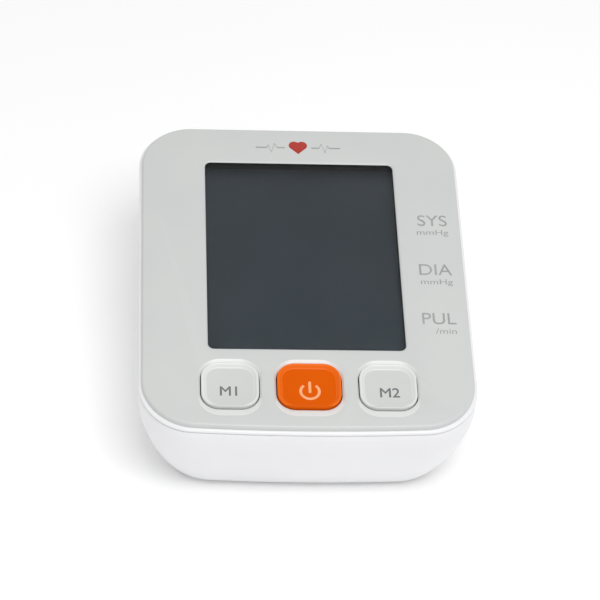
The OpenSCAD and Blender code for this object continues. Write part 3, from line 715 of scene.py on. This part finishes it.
def paint_highlight(piece, ink_or_highlight, wanted):
    """Paints a highlight: gives the faces at the wanted places (u, v, w on the sloping face) a lighter
    copy of the finish.
    """
    piece.data.materials.append(INKS_AND_HIGHLIGHTS[ink_or_highlight])
    hold(piece, edit=True)
    lean = Matrix.Rotation(-TILT, 3, "X")
    pick("FACE", lambda f: wanted(*(lean @ (middle(f) / MM - Vector((0, 0, FACE_Z))))))
    bpy.context.object.active_material_index = 1
    bpy.ops.object.material_slot_assign()
    free_hands()
    return piece


def make_face_panel():
    """Face with a rolled edge, the window with its sloping lip and the three dished key openings."""
    piece = casing_sheet("face_panel", 1.95, PANEL_T)
    steps = 7
    rings = [(1.95, PANEL_T), (1.88, 1.76), (1.04, 1.76), (1.0, 1.72), (1.0, 0.8)]
    for k in range(1, steps + 1):
        turn = math.pi / 2 * k / steps
        rings.append((1.8 - 0.8 * math.cos(turn), 0.8 - 0.8 * math.sin(turn)))
    follow_rings([(inset, 1, joint_height(depth)) for inset, depth in rings])
    close_up(piece)
    edge = [(1.2, 0.5), (1.2, 0.02), (0.75, -0.04), (0.45, -0.14), (0.2, -0.3), (0.02, -0.5),
            (0.02, -1.0)]
    tools = [slab("lens_room", [s + 3 for s in WINDOW], WINDOW_R + 1.5, -4, -0.5),
             slab("window_hole", WINDOW, WINDOW_R, -4, 1),
             funnel("window_lip", WINDOW, WINDOW_R, edge)]
    for tool in tools:
        carve(piece, on_panel(tool, 0, WINDOW_V))
    for tool in key_rooms(4):
        carve(piece, tool)
    for index in range(3):
        carve(piece, on_panel(key_dish(cap_size(index)), (index - 1) * KEY_PITCH, KEY_V))
    seat(close_up(piece))
    dress(piece, "panel_grey", "housing", "front_panel")
    # Painted highlight: the walls of the hollows round the keys get a lighter grey where they catch the
    # light.
    return paint_highlight(piece, "rim_white", lambda u, v, w: w < -0.02 and v < -36 and is_dish_wall(u, v))


# ---------- Keys ----------

def make_key(name, index, slot, body, node):
    """Dished cap with a rolled rim, hollow below, with its lugs and press post."""
    size = cap_size(index)
    piece = rounded_sheet(name, size, CAP_R, CAP_LOW, steps=12)
    bpy.ops.mesh.extrude_region()
    shift(0, 0, 5.4)
    rim = [(0.4 - 0.4 * math.cos(a), 0.2 + 0.4 * math.sin(a))
           for a in (math.pi / 2 * k / 6 for k in range(7))]
    dish = [(0.4 + 1.6 * t, 0.6 - 1.1 * (3 * t * t - 2 * t ** 3))
            for t in (k / 9 for k in range(1, 10))]
    profile = rim + dish
    raise_face([(b[0] - a[0], b[1] - a[1]) for a, b in zip(profile, profile[1:])])
    close_up(piece, 40)
    carve(piece, slab("lug", (12, size[1] + 1.8), 1.5, CAP_LOW, -0.3 - SPLIT_W), "UNION")
    carve(piece, slab("hollow", [s - 2 * CAP_WALL for s in size], CAP_R - CAP_WALL, -6, -2))
    carve(piece, rod("post", POST_R, (0, 0, -6.9), 5.6), "UNION")
    close_up(piece, 40)
    move(piece, ((index - 1) * KEY_PITCH, KEY_V, 0))
    seat(piece, on_face=True)
    dress(piece, slot, body, node)
    # Painted highlight: the rim and dish of the cap, all but its near edge, get a lighter copy of the
    # cap's colour.
    rim = {"key_grey": "rim_white", "key_orange": "rim_orange"}[slot]
    return paint_highlight(piece, rim, lambda u, v, w: w > -0.42 and v > KEY_V - 8.6)


def lay_text(name, words, size, place, ink_or_highlight, body, slot, align="CENTER", width=1.0, weight=0.0):
    """Printed legend as a thin raised film; place is (u, v, w) on the face, weight thickens it."""
    free_hands()
    bpy.ops.object.text_add()
    piece = bpy.context.object
    piece.name = piece.data.name = name
    piece.data.body = words
    piece.data.size = 1
    piece.data.align_x, piece.data.align_y = align, "BOTTOM_BASELINE"
    piece.data.extrude = FILM_T / 2 / size
    bpy.ops.object.convert(target="MESH")
    piece = bpy.context.object
    piece.name = piece.data.name = name
    piece.scale = (size * width * MM, size * MM, size * MM)
    bpy.ops.object.transform_apply(scale=True)
    strokes = []
    for k, (x, y) in enumerate(((-1, 0), (1, 0), (0, -1), (0, 1)) if weight else ()):
        strokes.append(move(copy_of(piece, name + "_stroke"), (x * weight, y * weight, -0.004 * (k + 1))))
    hold(piece)
    for stroke in strokes:
        stroke.select_set(True)
    if strokes:
        bpy.ops.object.join()
    close_up(piece)
    move(piece, place)
    seat(piece, on_face=True)
    return dress(piece, slot, body, ink_or_highlight=ink_or_highlight)


def make_power_sign():
    """Open ring with a bar through its gap."""
    free_hands()
    bpy.ops.mesh.primitive_circle_add(vertices=72, radius=3.6 * MM)
    piece = named("power_sign")
    pick("VERT", lambda v: v.co.y > 0 and abs(math.atan2(v.co.x, v.co.y)) < math.radians(38))
    bpy.ops.mesh.delete(type="VERT")
    bpy.ops.mesh.select_all(action="SELECT")
    bpy.ops.mesh.extrude_edges_move()
    grow(0.74, 0.74)
    free_hands()
    bar = slab("bar", (0.95, 4.9), 0.45, 0, FILM_T, steps=6, centre=(0, 1.75))
    hold(piece, edit=True)
    bpy.ops.mesh.select_all(action="SELECT")
    bpy.ops.mesh.extrude_region()
    shift(0, 0, FILM_T)
    hold(piece)
    bar.select_set(True)
    bpy.ops.object.join()
    close_up(piece)
    move(piece, (0.2, -52.2, -0.5))
    seat(piece, on_face=True)
    return dress(piece, "key_orange", "key_power", ink_or_highlight="power_ink")


def pulse_line(name, stops):
    """Thin raised line through stops on the face."""
    free_hands()
    bpy.ops.mesh.primitive_plane_add(size=MM)
    piece = named(name)
    bpy.ops.mesh.select_all(action="SELECT")
    bpy.ops.mesh.merge(type="CENTER")
    shift(*stops[0], 0)
    for old, new in zip(stops, stops[1:]):
        bpy.ops.mesh.extrude_region()
        shift(new[0] - old[0], new[1] - old[1], 0)
    for step in ((0, 0.55, 0), (0, 0, FILM_T)):
        bpy.ops.mesh.select_all(action="SELECT")
        bpy.ops.mesh.extrude_region()
        shift(*step)
    seat(close_up(piece), on_face=True)
    return dress(piece, "panel_grey", "housing", ink_or_highlight="legend_ink")


def make_pulse_mark():
    """Plain heart with a pulse line on each side, at the head of the face."""
    side, middle_v = 3.9, 58.6
    heart = block("heart_mark", (side, side, FILM_T), (0, 0, FILM_T / 2))
    heart.rotation_euler.z = math.radians(45)
    move(heart, (0, 0, 0))
    lobe = side / 2 * math.sqrt(0.5)
    for x in (-lobe, lobe):
        carve(heart, rod("lobe", side / 2, (x, lobe, 0), FILM_T), "UNION")
    seat(close_up(move(heart, (0, middle_v, 0))), on_face=True)
    dress(heart, "panel_grey", "housing", ink_or_highlight="heart_ink")
    beat = [(4.8, 0), (7.6, 0), (8.5, 2.0), (9.7, -2.3), (10.7, 1.2), (11.3, 0), (15.3, 0)]
    for end, way in (("left", -1), ("right", 1)):
        pulse_line("pulse_line_" + end, [(way * x, middle_v + y) for x, y in beat])


# ---------- Underside, sockets and cells ----------

def make_battery_door():
    """Door of the bay with its hinge barrel and pins, latch finger, thumb hollow and grip lines."""
    centre = (0, (HINGE_Y + DOOR_FRONT) / 2, HINGE_Z)
    piece = soften(block("bay_door", (2 * DOOR_X, HINGE_Y - DOOR_FRONT, DOOR_T), centre), 0.3)
    finger = block("finger", (12, 1.2, 1.5), (0, DOOR_FRONT + 2.4, BASE_Z + DOOR_T + 0.15))
    for part in (rod("barrel", DOOR_T / 2, (-DOOR_X, HINGE_Y, HINGE_Z), 2 * DOOR_X, "X"),
                 rod("pins", PIN_R, (-DOOR_X - 1.8, HINGE_Y, HINGE_Z), 2 * DOOR_X + 3.6, "X", 32),
                 soften(finger, 0.25)):
        carve(piece, part, "UNION")
    hollow = turned("hollow", [(8.2 * math.sin(math.pi * k / 24), 8.2 * math.cos(math.pi * k / 24))
                               for k in (0.2, *range(1, 13))])
    cuts = [move(hollow, (0, DOOR_FRONT + 6.4, BASE_Z - 7.2))]
    for side in (-1, 1):
        cuts.append(block("slot", (0.8, 9.2, 6), (side * 7, DOOR_FRONT + 4.5, BASE_Z + 1)))
    for k in range(5):
        width, y = 16 - 2 * k, DOOR_FRONT + 14.5 + 2.2 * k
        cuts.append(rod("grip", 0.6, (-width / 2, y, BASE_Z - 0.15), width, "X", 24))
    for tool in cuts:
        carve(piece, tool)
    seat(close_up(piece))
    return dress(piece, "casing_white", "door", "battery_door")


def make_feet():
    """One rubber foot with a rounded rim and ring grooves in its sole, copied to four places."""
    first = soften(rod("rubber_foot_1", FOOT_R, (0, 0, 0), 2.2), 0.4)
    hold(first, edit=True)
    pick("FACE", lambda f: middle(f).z < 1e-6 and len(f.verts) > 8)
    raise_face([(1.0, 0), (0.1, -0.3), (0.5, 0), (0.1, 0.3),
                (0.8, 0), (0.1, -0.3), (0.5, 0), (0.1, 0.3)])
    close_up(first)
    feet = [first] + [copy_of(first, f"rubber_foot_{k}") for k in (2, 3, 4)]
    for foot, (x, y) in zip(feet, FEET):
        seat(foot, at=(x, y, 0))
        dress(foot, "feet_rubber", "housing", "rubber_feet")


def make_air_socket():
    """Socket for the cuff's plug: a chamfered bore, a rounded collar, a flange and a hose tail."""
    piece = turned("air_inlet", [
        (0.8, 12.0), (0.9, 11.2), (1.3, 11.0), (3.35, 11.0), (3.6, 10.7), (3.6, 0.75), (3.75, 0.45),
        (4.15, 0.06), (4.35, 0), (5.7, 0), (6.0, 0.08), (6.15, 0.25), (6.2, 0.5), (6.2, 4.4), (7.45, 4.4),
        (7.6, 4.55), (7.6, 5.75), (7.45, 5.9), (6.2, 5.9), (6.2, 12.6), (5.9, 13), (1.6, 13), (1.6, 18.6),
        (1.4, 19), (0.5, 19)])
    piece.rotation_euler.y = math.pi / 2
    seat(move(piece, (JACK_FACE, JACK_Y, JACK_Z)))
    return dress(piece, "socket_grey", "housing", "air_socket")


def make_cells():
    """One AA cell - can, wrap and copper band - copied into the four places, head to tail."""
    can = turned("can", [(6.1, 0), (6.7, 0.15), (6.9, 0.5), (6.9, 48.6), (6.7, 49.1), (6.1, 49.3),
                         (3.1, 49.3), (2.8, 49.4), (2.75, 50.1), (2.6, 50.4), (2.2, 50.5)])
    wrap = turned("wrap", [(6.4, 0.3), (6.9, 0.3), (7.05, 0.45), (7.1, 0.8), (7.1, 34.5)])
    band = turned("band", [(7.06, 34.5), (7.1, 34.56), (7.1, 48.6), (7.0, 49.0), (6.8, 49.12),
                           (6.4, 49.12)])
    for number in range(4):
        turn, y = (-math.pi / 2, -0.4) if number % 2 == 0 else (math.pi / 2, 43.9)
        for start, slot, ink_or_highlight in ((can, "steel", None), (wrap, "battery_jacket", None),
                                 (band, "battery_jacket", "cell_band")):
            piece = copy_of(start, f"cell_{start.name}_{number + 1}")
            piece.rotation_euler.x = turn
            seat(move(piece, ((number - 1.5) * CELL_PITCH, y, CELL_Z)))
            dress(piece, slot, "housing", "aa_cells", ink_or_highlight=ink_or_highlight)
    for start in (can, wrap, band):
        bpy.data.objects.remove(start)


# ---------- Stage ----------

WORLD_LIGHT, FLOOR_GLOW = 0.66, 0.08
SOFTBOXES = [  # name, place, aim, size in metres, watts
    ("top_softbox", (0.1, -0.3, 0.75), (0, 0, 0.04), 0.45, 3.0),
    ("side_softbox", (0.9, -0.5, 0.5), (0, 0, 0.02), 0.7, 0.4),
]


def make_stage():
    """Pale floor just under the feet, a white world and two softboxes."""
    free_hands()
    bpy.ops.mesh.primitive_plane_add(size=8, location=(0, 0, -0.1 * MM))
    floor = named("floor", edit=False)
    material, tree, shader = finish("floor_white")
    paper = [(0.3, (0.93, 0.93, 0.93)), (0.7, (0.95, 0.95, 0.95))]
    tree.links.new(shades(tree, cloud(tree, place_of(tree), 3), paper), shader.inputs["Base Color"])
    shader.inputs["Roughness"].default_value = 0.9
    shader.inputs["Specular IOR Level"].default_value = 0.1
    shader.inputs["Emission Color"].default_value = (1, 1, 1, 1)
    shader.inputs["Emission Strength"].default_value = FLOOR_GLOW
    floor.data.materials.append(material)
    world = bpy.data.worlds.new("studio")
    bpy.context.scene.world = world
    world.use_nodes = True
    sky = world.node_tree.nodes["Background"]
    sky.inputs["Color"].default_value = (1, 1, 1, 1)
    sky.inputs["Strength"].default_value = WORLD_LIGHT
    for name, place, aim, side, power in SOFTBOXES:
        lamp = bpy.data.objects.new(name, bpy.data.lights.new(name, "AREA"))
        bpy.context.collection.objects.link(lamp)
        lamp.data.size = side
        lamp.data.energy = power
        lamp.location = place
        lamp.rotation_euler = (Vector(aim) - Vector(place)).to_track_quat("-Z", "Y").to_euler()
    bpy.context.scene.view_settings.view_transform = "Standard"


# ---------- Putting it together ----------

KEYS = [
    ("m1", 0, "key_grey"),
    ("power", 1, "key_orange"),
    ("m2", 2, "key_grey"),
]
KEY_LEGENDS = [("M1", -26.8), ("M2", 27.0)]
FACE_LEGENDS = [("SYS", "mmHg", 22.2), ("DIA", "mmHg", -0.6), ("PUL", "/min", -22.7)]
LEGEND_EDGE = 51.9

place_camera()
make_stage()
for sub in frame["record"]["subparts"]:
    node = frame["nodes"][sub["node"]]
    for holder in node.material_slots:
        holder.material = FINISHES[sub["material_slot"]]
make_lower_casing()
make_upper_casing()
make_face_panel()
for name, index, slot in KEYS:
    make_key("key_cap_" + name, index, slot, "key_" + name, "button_" + name)
for words, u in KEY_LEGENDS:
    key = words.lower()
    lay_text("legend_" + key, words, 5.6, (u, -54.3, -0.5), "key_ink", "key_" + key, "key_grey",
             weight=0.07)
make_power_sign()
for words, unit, v in FACE_LEGENDS:
    lay_text("legend_" + words.lower(), words, 7.2, (LEGEND_EDGE, v, 0.0), "legend_ink", "housing",
             "panel_grey", "RIGHT")
    lay_text("unit_" + words.lower(), unit, 3.4, (LEGEND_EDGE, v - 4.2, 0.0), "legend_ink", "housing",
             "panel_grey", "RIGHT", 1.25)
make_pulse_mark()
make_battery_door()
make_feet()
make_air_socket()
make_cells()
